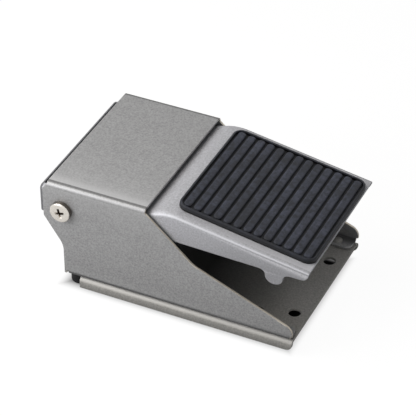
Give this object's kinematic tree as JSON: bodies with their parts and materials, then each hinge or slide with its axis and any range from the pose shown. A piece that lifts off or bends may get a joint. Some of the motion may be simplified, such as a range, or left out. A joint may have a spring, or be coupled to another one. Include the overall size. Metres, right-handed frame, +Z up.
{
  "type": "pneumatic foot valve",
  "caption": "Foot-operated pneumatic valve: a bent-sheet cover on a base plate, a hinged pedal with a ribbed rubber pad, and a spring-return spool valve with threaded ports at the rear.",
  "frame": {"origin": "on the floor under the middle of the bounding box", "axes": "+X from the heel to the toe of the pedal, +Y across to the side that is far in the picture, +Z up"},
  "size_m": [0.124, 0.0802, 0.0583],
  "materials": {
    "cover_steel": "bead-blasted satin",
    "base_steel": "bead-blasted satin",
    "pedal_steel": "bead-blasted satin",
    "pad_rubber": "moulded, slightly dusty",
    "foot_rubber": "matt",
    "screw_nickel": "nickel plated",
    "shaft_steel": "turned",
    "block_aluminium": "machined, clear anodised",
    "spool_aluminium": "turned",
    "brass": "turned",
    "acetal": "turned, natural white",
    "seal_rubber": "smooth",
    "spring_steel": "bright drawn"
  },
  "bodies": {
    "frame": {"cover": "cover_steel", "base_plate": "base_steel", "cover_rivets": "base_steel", "rubber_feet": "foot_rubber", "pivot_shaft": "shaft_steel", "pivot_screws": "screw_nickel", "valve_body": "block_aluminium", "valve_screws": "screw_nickel", "passage_plugs": "brass", "bottom_plug": "brass", "plug_seal": "seal_rubber", "gland": "brass", "gland_seal": "seal_rubber", "rod_seal": "seal_rubber", "gland_clip": "spring_steel"},
    "pedal": {"pedal_plate": "pedal_steel", "pedal_pad": "pad_rubber", "pivot_bushes": "acetal"},
    "plunger": {"spool": "spool_aluminium", "spool_seals": "seal_rubber", "spring_button": "acetal", "return_spring": "spring_steel"}
  },
  "joints": [
    {"name": "pedal_hinge", "type": "hinge", "parent": "frame", "child": "pedal", "pos_m": [-0.05, 0, 0.043], "axis": [0, 1, 0], "range_deg": [0, 15], "stiffness_Nm_per_rad": 2.4, "springref_deg": -9.91},
    {"name": "plunger_slide", "type": "slide", "parent": "frame", "child": "plunger", "axis": [0, 0, -1], "range_m": [0, 0.00484], "deforming": ["return_spring"]}
  ],
  "couplings": [
    {"joint": "plunger_slide", "follows": "pedal_hinge", "m_per_rad": 0.018461}
  ]
}
